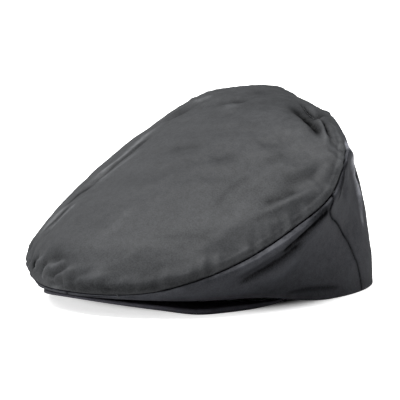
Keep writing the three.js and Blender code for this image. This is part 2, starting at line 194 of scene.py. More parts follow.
# Painted highlights and shade: lines where the cloth is painted paler, where folds and ridges catch the
# light, or darker if negative, where shade falls in creases, hollows and seams: name, half width, strength
# and the places that the line runs through.
TOP_PAINTED_SHADING = (
    ("rear notch seam", 1.5, -1.7, ((160, 0.658), (149, 0.692), (138, 0.716), (127, 0.726))),
    ("rear notch corner", 1.0, -1.4, ((126, 0.718), (130.5, 0.765), (140, 0.84), (146, 0.89))),
    ("rear pinch", 6.5, -1.0, ((152, 0.6), (132, 0.635), (118, 0.68), (106, 0.74))),
    ("rear pinch core", 2.6, -0.6, ((134, 0.64), (124, 0.665), (116, 0.69), (109, 0.73))),
    ("rear groove", 1.8, -1.5, ((126, 0.784), (116, 0.792), (107, 0.805))),
    ("rear ridge", 1.4, 0.8, ((127, 0.745), (117, 0.763), (104, 0.78))),
    ("rim roll line", 1.3, 0.7, ((96, 0.92), (106, 0.9), (118, 0.88), (132, 0.84))),
    ("nose shade 1", 3.0, -1.4, ((-24, 0.915), (-22, 0.936), (-18.5, 0.955))),
    ("nose shade 2", 3.8, -0.6, ((-13, 0.87), (-7.5, 0.858), (-1, 0.872))),
    ("nose shade 3", 2.0, -0.5, ((-13, 0.88), (-13.6, 0.92), (-14.4, 0.965))),
    ("nose shade 4", 2.2, -0.2, ((-9, 0.96), (-5.5, 0.931), (-1.5, 0.9))),
    ("nose ridge 1", 1.4, 1.2, ((-15, 0.865), (-18, 0.926), (-21, 0.965))),
    ("nose ridge 2", 1.4, 1.2, ((-9, 0.9), (-10.5, 0.925), (-12.6, 0.97))),
    ("nose ridge 3", 1.4, 1.0, ((-8.5, 0.91), (-5, 0.885), (-2, 0.87))),
    ("nose edge", 1.3, 1.0, ((-8.5, 0.992), (-4.5, 0.988), (-1, 0.975))),
    ("front shade", 6.5, -0.95, ((-4, 0.965), (9, 0.968), (20, 0.965), (34, 0.965), (48, 0.98))),
    ("front roll line", 1.8, -0.3, ((4, 0.955), (8.5, 0.962), (13, 0.966), (23, 0.97), (32, 0.975))),
    ("far rim line", 3.2, 1.9, ((-46, 0.592), (-51.5, 0.522), (-63, 0.461), (-82.5, 0.424), (-95, 0.42))),
    ("far rim shade", 2.8, -0.9, (
        (-44, 0.53), (-50, 0.49), (-57.5, 0.445), (-66, 0.396), (-71.5, 0.343))),
    ("far rim second line", 3.0, 0.8, ((-32.5, 0.534), (-36.5, 0.465), (-41, 0.4), (-46, 0.343))),
    ("far rim fork", 2.4, -1.1, ((-37, 0.69), (-38, 0.653), (-40, 0.62), (-39, 0.579), (-35.5, 0.53))),
    ("lower rim line", 2.8, 1.8, ((-33, 0.82), (-33.5, 0.751), (-35, 0.71), (-37, 0.66))),
    ("lower rim second line", 2.4, 1.3, ((-28.5, 0.767), (-28.5, 0.714), (-29, 0.669), (-29.5, 0.624))),
    ("lower rim shade", 2.0, -1.0, ((-31, 0.796), (-31.2, 0.735), (-32, 0.694), (-32.5, 0.649))),
    ("crown shade", 6.0, -0.5, ((-112, 0.6), (-114, 0.52), (-115, 0.428), (-117, 0.34))),
    ("crown line", 1.6, 0.9, ((-125, 0.522), (-132, 0.481), (-141.5, 0.481))),
    ("crown front shade", 4.5, -0.6, ((-161, 0.236), (-171.5, 0.253), (171.5, 0.273))),
    ("crown front line", 2.6, 0.5, ((-175.5, 0.134), (174, 0.167), (167.5, 0.216))),
    ("left upper shade", 3.4, -0.42, ((92.5, 0.763), (86, 0.73), (81, 0.71), (75.5, 0.698))),
    ("left rim shade", 3.0, -0.4, ((80, 0.788), (74.5, 0.751), (67.5, 0.739), (63.5, 0.743))),
    ("curve shade", 2.4, -0.38, ((44.5, 0.649), (50, 0.588), (58.5, 0.571), (67, 0.588))),
    ("curve ridge", 2.6, 0.22, ((47, 0.735), (53, 0.702), (60, 0.686))),
    ("left ridge", 3.2, 0.2, ((5, 0.788), (7.5, 0.722), (9, 0.624), (10, 0.555))),
    ("left broad shade", 6.0, -0.16, ((-6.5, 0.686), (-1, 0.665), (2.5, 0.624))),
    ("upper broad shade", 7.0, -0.14, ((-15, 0.457), (0, 0.42), (17.5, 0.424))),
    ("low shade", 2.0, -0.42, ((26, 0.726), (35.5, 0.726), (41, 0.759), (45.5, 0.8))),
    ("low branch", 1.5, -0.35, ((39.5, 0.73), (43.5, 0.739), (48, 0.747))),
    ("near crease", 1.9, -0.55, ((64, 0.726), (73.5, 0.779), (79.5, 0.767))),
    ("near branch", 1.8, -0.5, ((58, 0.796), (65.5, 0.804), (73.5, 0.837))),
    ("upper shade 1", 3.6, -0.26, ((-8.5, 0.212), (13.5, 0.2), (37, 0.224))),
    ("upper shade 2", 3.2, -0.26, ((45, 0.347), (55.5, 0.375), (66, 0.436))),
    ("upper shade 3", 3.2, -0.36, ((73.5, 0.543), (80, 0.567), (87, 0.579))),
    ("upper shade 4", 3.0, -0.25, ((85.5, 0.2), (95.5, 0.273), (101.5, 0.355))),
    ("pale patch", 6.5, 0.12, ((38, 0.686), (44.5, 0.686), (51.5, 0.706))),
    ("front dimple", 5.0, -0.45, ((10, 0.9), (16, 0.89), (22.5, 0.882), (29.5, 0.869), (36, 0.86))),
    ("rear shoulder", 24.0, 0.25, ((84, 0.6), (101, 0.72), (112, 0.64), (130, 0.45), (150, 0.3))),
)
# The same painted highlights and shade on the side and back panels.
WALL_PAINTED_SHADING = (
    ("back buckle", 1.9, 6.0, (
        (116, 1.02), (111, 1.15), (113, 1.28), (119, 1.4), (124.5, 1.488), (131, 1.6))),
    ("back buckle foot", 1.9, 3.0, ((124.5, 1.488), (130, 1.6), (134, 1.74))),
    ("back strip", 2.4, -1.4, ((119, 1.16), (124, 1.32), (131, 1.44), (140, 1.54))),
    ("back shade", 4.5, -1.1, ((104, 1.04), (99, 1.1), (95.5, 1.23), (97, 1.4))),
    ("back wax", 26.0, 0.1, ((106, 1.1), (114, 1.45), (122, 1.72), (130, 1.96))),
    ("side shade", 3.6, -0.35, (
        (51, 1.44), (57.5, 1.39), (61.5, 1.34), (66, 1.28), (71, 1.22), (75, 1.18))),
    ("side upper shade", 4.6, -1.6, ((69, 1.37), (75, 1.35), (80, 1.3), (84, 1.26), (88, 1.21))),
    ("side crease", 1.6, -1.0, ((80, 1.46), (70, 1.5), (60, 1.53), (52, 1.56))),
    ("hem crease", 1.2, -0.8, ((78, 1.945), (86, 1.935), (93, 1.93), (99, 1.938), (112, 1.955))),
    ("side puff", 2.6, 0.6, ((60, 1.08), (70, 1.065), (80, 1.04))),
    ("side nose shade", 4.0, -0.6, ((34, 1.2), (44, 1.18), (53, 1.14))),
)
# The hem's stitched band: where it starts along the wall, how soon it is up and how proud it stands, and
# from which direction it comes up, over how many degrees.
HEM_BAND = {"start": 1.845, "rise": 0.03, "proud": 0.6, "from": 75, "over": 15}
# The cloth turned in along the top's seam: how high it lifts the cloth, over what width it rises, and
# from where and over what width it ends.
ALLOWANCE = {"lift": 0.45, "rise": 1.6, "end": 4.6, "fall": 2.6}
# How much paler the cloth is painted along its edges, for rubbed wax and painted highlights on the rolled
# seam, hem and rim, or darker if negative, for the painted shade of the seams at the panels' sides, and
# how far in from the edge.
EDGE_WEAR_AND_SHADING = {"seam": (0.4, 1.8), "hem": (0.6, 1.5), "side": (-1.6, 1.4), "rim": (0.4, 1.3)}
# How far off the skin, square to it, a fold still counts in full.
FOLD_DEPTH = 10.0
# The share of the cloth's lift that goes into its crease look, which paints light on raised folds and
# shade in sunk ones.
FOLD_SHADING_SHARE = 0.4

# Each cloth's colour setting, roughness, coat of wax, and how much painted light a fold gets for each mm
# of crease, painted shade where it is sunk.
CLOTHS = {
    "waxed_top_cloth": {"colour": "top", "roughness": 0.5, "coat": 0.26, "painted_shading": 0.20},
    "waxed_wall_cloth": {"colour": "wall", "roughness": 0.48, "coat": 0.20, "painted_shading": 0.28},
    "waxed_peak_cloth": {"colour": "peak", "roughness": 0.55, "coat": 0.15, "painted_shading": 0.0},
}
# How much the patches, the mottling and the flecks of the wax change the tone and the gloss, how much more
# coat there is along the paler painted lines and rubbed edges, less along the darker ones, and the darkest
# tone.
WAX = {
    "patch_tone": 0.35, "mottle_tone": 0.6, "fleck_tone": 0.9, "darkest": 0.06,
    "patch_gloss": 0.18, "mottle_gloss": 0.12, "coat_along_lines": 1.3, "coat_roughness": 0.5,
}
# The strength of each relief in the cloth's surface, and its height in metres.
RELIEF = {"weave": (0.5, 0.00012), "creases": (0.7, 0.002)}

# Loose thread ends: where they leave the seam, the radius of their curl and how far they rise.
LOOSE_ENDS = (
    {"direction": 90.5, "along": 0.985, "curl": 1.5, "rise": 0.6},
    {"direction": 16.5, "along": 0.995, "curl": 0.7, "rise": -2.2},
)
CORD_RADIUS = {"top": 0.95, "wall": 0.85}
THREAD_RADIUS = {"stitch": 0.28, "end": 0.3}

# The stage: each light's name, strength, spread, azimuth and elevation, and the camera, in metres.
LIGHTS = (
    ("overhead", 3.3, 40, 0, 86),
    ("left", 1.5, 30, -60, 58),
    ("front", 0.7, 40, 5, 30),
    ("far", 0.45, 40, -100, 35),
    ("rear", 0.25, 20, 172, 28),
)
CAMERA = {
    "lens": 172.8, "sensor": 36.0, "near": 0.05, "far": 200.0,
    "azimuth": 42.77, "elevation": 6.24, "distance": 1.242, "looks_at": (0.0, -0.008444, 0.059352),
}
FLOOR_REACH = 40.0


def smooth(x):
    """3 t^2 - 2 t^3, with t the value held between 0 and 1."""
    t = np.clip(x, 0.0, 1.0)
    return t * t * (3.0 - 2.0 * t)


def curve_through(rows, key, column, at):
    """Cubic Hermite curve through a table's rows. Its slope at each row is the mean of the slopes to its
    neighbours, weighed by how near they are, and level at both ends."""
    x, y = rows[key], rows[column]
    step = np.diff(x)
    rise = np.diff(y) / step
    slope = np.zeros_like(y)
    slope[1:-1] = (step[1:] * rise[:-1] + step[:-1] * rise[1:]) / (step[1:] + step[:-1])
    k = np.clip(np.searchsorted(x, at, side="right") - 1, 0, len(x) - 2)
    t = (at - x[k]) / step[k]
    ends = (2 * t**3 - 3 * t**2 + 1) * y[k] + (3 * t**2 - 2 * t**3) * y[k + 1]
    return ends + step[k] * ((t**3 - 2 * t**2 + t) * slope[k] + (t**3 - t**2) * slope[k + 1])


def ring_of(rows):
    """The rows of a table by direction, continued three rows past either end."""
    turn = np.r_[-360.0 * np.ones(3), np.zeros(len(rows["direction"])), 360.0 * np.ones(3)]
    ring = {name: np.r_[values[-3:], values, values[:3]] for name, values in rows.items()}
    ring["direction"] = ring["direction"] + turn
    return ring


SEAM_RING = ring_of(SEAM)


def seam(column, direction):
    """A column of the seam's table in any direction."""
    return curve_through(SEAM_RING, "direction", column, (direction + 180.0) % 360.0 - 180.0)


def lower_edge(direction):
    """Reach, height, belly and lift of the walls' lower edge. The reach is the table's in front and the
    hem oval's behind, where the line from the hub crosses the oval (the root of a r^2 + b r = 1 -
    offset^2), and goes over from the one to the other between 70 and 95 degrees."""
    away = np.abs((direction + 180.0) % 360.0 - 180.0)
    across = np.sin(np.radians(away)) / HEM_OVAL["width"]
    forward = -np.cos(np.radians(away)) / HEM_OVAL["length"]
    offset = HEM_OVAL["hub"] / HEM_OVAL["length"]
    a = across**2 + forward**2
    b = 2 * offset * forward
    oval = (-b + np.sqrt(b * b - 4 * a * (offset**2 - 1))) / (2 * a)
    hem = smooth((away - 70) / 25)
    columns = ("reach", "height", "belly", "lift")
    at = {name: curve_through(LOWER_EDGE, "direction", name, away) for name in columns}
    at["reach"] = (1 - hem) * at["reach"] + hem * oval
    at["height"] = np.where(away >= 105, 0.0, at["height"])
    at["belly"] = np.where(away >= 95, 0.0, at["belly"])
    return at


def in_direction(direction, reach, height):
    """The point at a reach from the hub line and a height, in a direction."""
    angle = np.radians(direction)
    x, y = np.sin(angle) * reach, HUB_Y - np.cos(angle) * reach
    return np.stack(np.broadcast_arrays(x, y, height), -1)


def top_point(direction, along):
    """A tilted dome over the hub, height + lean r + rim (r / reach)^doming, that ends in a quarter round
    roll down to the seam."""
    reach, roll = seam("reach", direction), seam("roll", direction)
    start, depth = CROWN["roll_start"], CROWN["roll_depth"]
    lean = -CROWN["slope"] * np.cos(np.radians(direction))
    turn = np.minimum(1.0, (1.0 - along) / (1.0 - start)) * math.pi / 2
    r = np.where(along > start, reach - depth * (1 - np.cos(turn)), (reach - depth) * along / start)
    rim = seam("height", direction) + roll - CROWN["height"] - lean * reach
    dome = CROWN["height"] + lean * r + rim * (r / reach) ** CROWN["doming"]
    return in_direction(direction, r, dome - roll * (1 - np.sin(turn)))


def wall_point(direction, along):
    """A cubic Bezier curve from the seam, out over the wall's puff and down to its lower edge."""
    t = along - 1.0
    low = lower_edge(direction)
    reach, height = seam("reach", direction), seam("height", direction)
    weights = ((1 - t) ** 3, 3 * (1 - t) ** 2 * t, 3 * (1 - t) * t**2, t**3)
    reaches = (reach, reach + seam("out", direction), low["reach"] + low["belly"], low["reach"])
    belly_height = low["height"] + low["lift"] * (height - low["height"])
    heights = (height, height + seam("up", direction), belly_height, low["height"])
    r = sum(w * v for w, v in zip(weights, reaches))
    z = sum(w * v for w, v in zip(weights, heights))
    return in_direction(direction, r, z)


def unit(v):
    """v scaled to length 1."""
    return v / np.maximum(np.linalg.norm(v, axis=-1, keepdims=True), 1e-9)


def wall_outward(direction, along):
    """Unit way square to the wall and out of the cap: the cross product of its slopes downwards, over a
    tenth of its height either way, and sideways, over half a degree either way."""
    lower = wall_point(direction, np.minimum(2, along + 0.1))
    down = lower - wall_point(direction, np.maximum(1, along - 0.1))
    sideways = wall_point(direction + 0.5, along) - wall_point(direction - 0.5, along)
    return unit(np.cross(down, sideways))


def top_outward(direction, along):
    """Unit way straight up on the dome, which turns outwards round the roll by a quarter circle."""
    start = CROWN["roll_start"]
    turn = np.minimum(1.0, (1.0 - along) / (1.0 - start)) * math.pi / 2
    radial = in_direction(direction, np.ones_like(along), np.zeros_like(along)) - np.array([0, HUB_Y, 0])
    return radial * np.cos(turn)[..., None] + np.array([0, 0, 1.0]) * np.sin(turn)[..., None]


def fold_height(place, normal, folds, skin, fade=0.35):
    """Sum of the folds at each place: height exp(-(d / half)^2), with d the distance from the fold's
    line, of which up to FOLD_DEPTH square to the skin doesn't count. Over the first and the last fade of
    the line, as a share of its length, it rises from and falls to 0.15 of itself."""
    total = np.zeros(place.shape[:-1])
    for _, half, height, path in folds:
        knots = skin(*np.array(path, float).T)
        lengths = np.linalg.norm(np.diff(knots, axis=0), axis=1)
        reached = np.r_[0, np.cumsum(lengths)]
        nearest = np.full(total.shape, np.inf)
        share = np.zeros_like(total)
        for i, length in enumerate(lengths):
            run = knots[i + 1] - knots[i]
            offset = place - knots[i]
            t = np.clip(offset @ run / length**2, 0, 1)
            offset = offset - t[..., None] * run
            depth = np.sum(offset * normal, -1)
            beyond = np.maximum(0, np.abs(depth) - FOLD_DEPTH)
            distance = np.sum(offset**2, -1) - depth**2 + beyond**2
            closer = distance < nearest
            nearest = np.where(closer, distance, nearest)
            share = np.where(closer, (reached[i] + t * length) / reached[-1], share)
        ends = smooth(share / fade) * smooth((1 - share) / fade)
        total += height * (0.15 + 0.85 * ends) * np.exp(-nearest / half**2)
    return total


def crumple(place, seed, wave, across):
    """Soft creases: 1.6 times the mean of nine ridged waves 1 - 2 |sin|, about wave long, that run mostly
    in the direction across and bend a little."""
    count = 9
    random = np.random.default_rng(seed)
    total = np.zeros(place.shape[:-1])
    for _ in range(count):
        run = unit(random.normal(size=3) + np.array(across, float))
        run = run * 2 * math.pi / (wave * random.uniform(0.7, 1.5))
        bend = unit(random.normal(size=3)) * 2 * math.pi / (wave * 2.3)
        phase, phase2 = random.uniform(0, 2 * math.pi, 2)
        total += 1 - 2 * np.abs(np.sin(place @ run + phase + 1.1 * np.sin(place @ bend + phase2)))
    return total / count * 1.6


def spaced(count, low, high, tight):
    """count + 1 values from low to high, closer together at both ends: even steps for tight 0, and those
    of half a cosine wave for tight 1."""
    t = np.linspace(0, 1, count + 1)
    eased = (1 - np.cos(math.pi * t)) / 2
    return low + (high - low) * ((1 - tight) * t + tight * eased)


def run_lengths(grid, axis):
    """How far each point of a grid lies from the first one along an axis, measured along the grid."""
    lengths = np.linalg.norm(np.diff(grid, axis=axis), axis=-1)
    first = np.zeros_like(np.take(lengths, [0], axis))
    return np.concatenate([first, np.cumsum(lengths, axis)], axis)


def edge_share(grid, axis, radius):
    """Along an axis of the grid, how round the cloth's rim is at each point: the height of a quarter
    circle of that radius over the distance to each end, as a share."""
    reached = run_lengths(grid, axis)
    whole = np.take(reached, [-1], axis)
    limit = np.minimum(radius, 0.45 * whole)
    start = np.clip(reached / limit, 0, 1)
    end = np.clip((whole - reached) / limit, 0, 1)
    return np.sqrt(1 - (1 - start) ** 2), np.sqrt(1 - (1 - end) ** 2)


def gathers(direction, from_seam, reach):
    """Short puckers across the seam: three sines of 66, 41 and 97 waves round the cap whose phases
    wander, stronger at the nose. They rise within 2 mm of the seam and then die out as
    exp(-(distance / reach)^2)."""
    turn = np.radians(direction)
    waves = 0.5 * np.sin(66 * turn + 2.1 * np.sin(7 * turn + 0.4))
    waves += 0.5 * np.sin(41 * turn + 1.7 * np.sin(5 * turn + 2.0)) + 0.3 * np.sin(97 * turn + 1.0)
    height = 0.75 + 0.35 * np.sin(11 * turn + 1.0)
    nose = 1 + 0.6 * np.exp(-((direction + 180) % 360 - 180) ** 2 / 40.0**2)
    fall = smooth(from_seam / 2.0) * np.exp(-((from_seam / reach) ** 2))
    return waves * height * nose * fall


def faces_of(rows, columns, ring):
    """Quads of a closed skin on two grids of rows by columns, outer then inner, joined at the rims. A
    ring's last column joins its first."""
    def quads(*corners):
        numbers = [(skin * rows + i) * columns + (j % columns if ring else j) for skin, i, j in corners]
        return np.stack(numbers, 1)

    across = columns if ring else columns - 1
    last, end = rows - 1, columns - 1
    i, j = np.indices((last, across)).reshape(2, -1)
    outer = quads((0, i, j), (0, i + 1, j), (0, i + 1, j + 1), (0, i, j + 1))
    inner = quads((1, i, j), (1, i, j + 1), (1, i + 1, j + 1), (1, i + 1, j))
    j = np.arange(across)
    parts = [outer, inner, quads((0, last, j), (1, last, j), (1, last, j + 1), (0, last, j + 1))]
    if not ring:
        parts.append(quads((0, 0, j), (0, 0, j + 1), (1, 0, j + 1), (1, 0, j)))
        i = np.arange(last)
        parts.append(quads((0, i, 0), (1, i, 0), (1, i + 1, 0), (0, i + 1, 0)))
        parts.append(quads((0, i, end), (0, i + 1, end), (1, i + 1, end), (1, i, end)))
    return np.concatenate(parts)


def two_skins(place, outward, thickness, rounding):
    """The outer and the inner face of cloth whose outer face lies at place: each stands half the
    thickness, times the rounding, off the cloth's middle."""
    half = thickness / 2
    middle = place - outward * half
    off = outward * (half * rounding)[..., None]
    return middle + off, middle - off


def edge_wear_and_shading(edge, distance):
    """How much paler the cloth is painted at a distance from an edge, for rubbed wax with painted
    highlights, and darker if negative, for the painted shade of a seam: strength exp(-distance / reach).
    """
    strength, reach = EDGE_WEAR_AND_SHADING[edge]
    return strength * np.exp(-distance / reach)


def add_mesh(name, points, faces, flat, looks, material):
    """A smooth mesh object from points in millimetres and arrays of faces, with the cloth's flat
    coordinates as its UV map and each named look as an attribute."""
    mesh = bpy.data.meshes.new(name)
    mesh.from_pydata((points * MM).tolist(), [], [face for part in faces for face in part.tolist()])
    corners = np.empty(len(mesh.loops), int)
    mesh.loops.foreach_get("vertex_index", corners)
    uv = mesh.uv_layers.new(name="cloth")
    uv.data.foreach_set("uv", (flat[corners] * MM).ravel())
    for look, values in looks.items():
        mesh.attributes.new(look, "FLOAT", "POINT").data.foreach_set("value", values)
    mesh.polygons.foreach_set("use_smooth", np.ones(len(mesh.polygons), bool))
    mesh.materials.append(material)
    mesh.validate()
    mesh.update()
    merge_doubles(mesh)
    piece = bpy.data.objects.new(name, mesh)
    bpy.context.collection.objects.link(piece)
    return piece


def merge_doubles(mesh):
    """Welds points at the same place, such as the two skins where they meet at a rim."""
    shape = bmesh.new()
    shape.from_mesh(mesh)
    bmesh.ops.remove_doubles(shape, verts=shape.verts, dist=1e-7)
    bmesh.ops.dissolve_degenerate(shape, edges=shape.edges, dist=1e-7)
    shape.to_mesh(mesh)
    shape.free()


def add_node(tree, kind, **values):
    """Adds a node and gives its outputs. The values are its settings and, with names that start with in_,
    what goes into its inputs: plain values, or outputs of other nodes, which are linked. The nodes stand
    in columns of four, in the order of their making."""
    count = len(tree.nodes)
    node = tree.nodes.new(kind)
    node.location = (220 * (count // 4), -240 * (count % 4))
    for name, value in values.items():
        if not name.startswith("in_"):
            setattr(node, name, value)
            continue
        key = name[3:]
        socket = node.inputs[int(key) if key.isdigit() else key.replace("_", " ")]
        if isinstance(value, bpy.types.NodeSocket):
            tree.links.new(value, socket)
        else:
            socket.default_value = value
    return node.outputs


def maths(tree, operation, *values):
    """The output of a Math node for values that are numbers or outputs of other nodes."""
    inputs = {f"in_{i}": value for i, value in enumerate(values)}
    return add_node(tree, "ShaderNodeMath", operation=operation, **inputs)[0]


def new_group(name, inputs, outputs):
    """An empty node group with its sockets, and what its start node puts out."""
    group = bpy.data.node_groups.new(name, "ShaderNodeTree")
    for socket, kind in inputs.items():
        group.interface.new_socket(socket, in_out="INPUT", socket_type=kind)
    for socket in outputs:
        group.interface.new_socket(socket, in_out="OUTPUT", socket_type="NodeSocketFloat")
    return group, add_node(group, "NodeGroupInput")


def weave_group():
    """Plain weave: half the product of two crossed sines, each half a wave to a thread, so that the
    threads lie over and under each other by turns, plus noise for the slubs where a thread is thicker."""
    inputs = {"Cloth": "NodeSocketVector", "Pitch": "NodeSocketFloat"}
    group, given = new_group("plain_weave", inputs, ["Height"])
    turns = maths(group, "DIVIDE", math.pi, given["Pitch"])
    scaled = add_node(
        group, "ShaderNodeVectorMath", operation="SCALE", in_0=given["Cloth"], in_Scale=turns)
    parts = add_node(group, "ShaderNodeSeparateXYZ", in_0=scaled[0])
    warp = maths(group, "SINE", parts["X"])
    weft = maths(group, "SINE", parts["Y"])
    slub = add_node(
        group, "ShaderNodeTexNoise", in_Vector=given["Cloth"], in_Scale=900.0, in_Detail=2.0)[0]
    height = maths(group, "MULTIPLY_ADD", maths(group, "MULTIPLY", warp, weft), 0.5, slub)
    add_node(group, "NodeGroupOutput", in_Height=height)
    return group


def wax_group():
    """Patchy wax: broad soft patches, finer mottling and flecks over the object, each from 0 (dry) to 1
    (waxy), and a height of fine handling creases."""
    noises = {
        "Patches": ("FBM", 22.0, 3.0, 0.55),
        "Mottle": ("FBM", 240.0, 4.0, 0.6),
        "Flecks": ("FBM", 1100.0, 2.0, 0.5),
        "Creases": ("RIDGED_MULTIFRACTAL", 60.0, 5.0, 0.5),
    }
    group, given = new_group("patchy_wax", {"Object": "NodeSocketVector"}, noises)
    made = {}
    for name, (kind, scale, detail, roughness) in noises.items():
        noise = add_node(
            group, "ShaderNodeTexNoise", noise_type=kind, in_Vector=given["Object"],
            in_Scale=scale, in_Detail=detail, in_Roughness=roughness)
        made[f"in_{name}"] = noise[0]
    add_node(group, "NodeGroupOutput", **made)
    return group


def cloth_groups():
    """The node groups that the cloths share, built once."""
    made = bpy.data.node_groups
    return {
        "weave": made.get("plain_weave") or weave_group(),
        "wax": made.get("patchy_wax") or wax_group(),
    }


def cloth_material(name, colour, finish, pitch):
    """Waxed cotton: the cloth's colour, with painted light on raised folds, along the painted highlight
    lines and at rubbed edges, and painted shade in sunk folds, creases and seams, under a coat of wax that
    follows those lines, stronger where they are pale and gone where they are dark, with patches in its
    gloss, and the weave and fine creases in its relief."""
    material = bpy.data.materials.new(name)
    material.use_nodes = True
    tree = material.node_tree
    tree.nodes.clear()
    groups = cloth_groups()
    place = add_node(tree, "ShaderNodeTexCoord")["Object"]
    flat = add_node(tree, "ShaderNodeUVMap", uv_map="cloth")[0]
    crease = add_node(tree, "ShaderNodeAttribute", attribute_name="crease")["Fac"]
    edge = add_node(tree, "ShaderNodeAttribute", attribute_name="edge")["Fac"]
    weave = add_node(tree, "ShaderNodeGroup", node_tree=groups["weave"], in_Cloth=flat, in_Pitch=pitch)
    wax = add_node(tree, "ShaderNodeGroup", node_tree=groups["wax"], in_Object=place)
    patches = maths(tree, "SUBTRACT", wax["Patches"], 0.5)
    mottle = maths(tree, "SUBTRACT", wax["Mottle"], 0.5)
    flecks = maths(tree, "SUBTRACT", wax["Flecks"], 0.5)
    # Painted light and shade: the edge look carries the painted highlight and shade lines, the painted
    # seam shade and the rubbed edges.
    painted_light_and_wear = maths(tree, "MULTIPLY", edge, wax["Mottle"])
    tone = maths(tree, "MULTIPLY_ADD", patches, WAX["patch_tone"], 1.0)
    tone = maths(tree, "MULTIPLY_ADD", mottle, WAX["mottle_tone"], tone)
    # Painted light on raised folds and painted shade in sunk ones.
    tone = maths(tree, "MULTIPLY_ADD", crease, finish["painted_shading"], tone)
    tone = maths(tree, "ADD", painted_light_and_wear, tone)
    tone = maths(tree, "MULTIPLY_ADD", flecks, WAX["fleck_tone"], tone)
    tone = maths(tree, "MAXIMUM", tone, WAX["darkest"])
    shaded = add_node(tree, "ShaderNodeVectorMath", operation="SCALE", in_0=colour, in_Scale=tone)[0]
    # The coat follows the same lines: more where they are painted pale, less where they are painted dark.
    coat = maths(tree, "MULTIPLY_ADD", painted_light_and_wear, WAX["coat_along_lines"] * finish["coat"], finish["coat"])
    coat = maths(tree, "MAXIMUM", coat, 0.0)
    gloss = maths(tree, "MULTIPLY_ADD", patches, WAX["patch_gloss"], finish["roughness"])
    gloss = maths(tree, "MULTIPLY_ADD", mottle, WAX["mottle_gloss"], gloss)
    strength, height = RELIEF["weave"]
    fine = add_node(
        tree, "ShaderNodeBump", in_Strength=strength, in_Distance=height, in_Height=weave["Height"])[0]
    strength, height = RELIEF["creases"]
    broad = add_node(
        tree, "ShaderNodeBump", in_Strength=strength, in_Distance=height, in_Height=wax["Creases"],
        in_Normal=fine)[0]
    cloth = add_node(
        tree, "ShaderNodeBsdfPrincipled", in_Base_Color=shaded, in_Roughness=gloss, in_Coat_Weight=coat,
        in_Coat_Roughness=WAX["coat_roughness"], in_Specular_IOR_Level=0.0, in_Normal=broad)[0]
    add_node(tree, "ShaderNodeOutputMaterial", in_Surface=cloth)
    return material


class CapSizes(PropertyGroup):
    """Sizes of the cap's cloth and of its meshes."""

    cloth: FloatProperty(
        name="Cloth", description="Thickness of shell and lining together", default=0.0018, unit="LENGTH")
    rim_round: FloatProperty(
        name="Rim radius", description="Rounding of the cloth's edges", default=0.0009, unit="LENGTH")
    seam_gap: FloatProperty(
        name="Seam gap", description="Space between neighbouring panels", default=0.0003, unit="LENGTH")
    weave: FloatProperty(
        name="Weave", description="Width of one thread of the cloth",
        default=0.00045, unit="LENGTH", precision=5)
    gather: FloatProperty(
        name="Gathers", description="Height of the puckers along the seams",
        default=0.001, unit="LENGTH", precision=5)
    crumple: FloatProperty(
        name="Crumple", description="Height of the small random creases",
        default=0.0007, unit="LENGTH", precision=5)
    directions: IntProperty(
        name="Directions", description="Mesh columns round the top panel", default=540)
    rings: IntProperty(
        name="Rings", description="Mesh rows from the middle of the top to its seam", default=80)
    wall_columns: IntProperty(
        name="Wall columns", description="Mesh columns of each side or back panel", default=230)
    wall_rows: IntProperty(
        name="Wall rows", description="Mesh rows of each side or back panel", default=84)


class CapColours(PropertyGroup):
    """Colours of the cap and of the stage."""

    # The top, the walls and the peak are one waxed cotton, each copy coloured to the tone that its part
    # shows in its light: painted light and shade.
    top: FloatVectorProperty(
        name="Top", description="Cloth of the top panel",
        subtype="COLOR", default=(0.0445, 0.0460, 0.0485))
    wall: FloatVectorProperty(
        name="Walls", description="Cloth of the side and back panels",
        subtype="COLOR", default=(0.0470, 0.0484, 0.0555))
    peak: FloatVectorProperty(
        name="Peak", description="Cloth of the peak",
        subtype="COLOR", default=(0.0520, 0.0510, 0.0620))
    floor: FloatVectorProperty(
        name="Floor", description="Floor of the stage",
        subtype="COLOR", default=(0.95, 0.95, 0.95))


def cloth_for(name):
    """The named cloth, made when it is first asked for."""
    found = bpy.data.materials.get(name)
    if found:
        return found
    scene, finish = bpy.context.scene, CLOTHS[name]
    colour = getattr(scene.cap_colours, finish["colour"])
    return cloth_material(name, colour, finish, scene.cap_sizes.weave)


def finish_piece(piece, node):
    """The piece stands for its CAD node and rides with the cap."""
    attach(piece, "root")
    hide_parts(node)


def top_surface(sizes, direction, along, from_seam):
    """The top's outer face with its folds, seam gathers and seam allowance: the places, the outward
    directions and how far the cloth is lifted."""
    place = top_point(direction, along)
    normal = top_outward(direction, along)
    folds = fold_height(place, normal, TOP_FOLDS, top_point)
    small = crumple(place, seed=5, wave=34.0, across=(-0.9, 1.8, 0)) * sizes.crumple / MM
    fine = crumple(place, seed=8, wave=12.0, across=(-0.5, 1.0, 0)) * 0.16 * sizes.crumple / MM
    allowance = ALLOWANCE["lift"] * smooth(from_seam / ALLOWANCE["rise"])
    allowance = allowance * (1 - smooth((from_seam - ALLOWANCE["end"]) / ALLOWANCE["fall"]))
    pucker = gathers(direction, from_seam, reach=11.0) * sizes.gather / MM
    lift = smooth(from_seam / 4.5) * (folds + small + fine) + allowance + pucker
    place = place + normal * lift[..., None]
    place[..., 2] += sizes.seam_gap / MM * (1 - smooth(from_seam / 8.0))
    return place, normal, lift


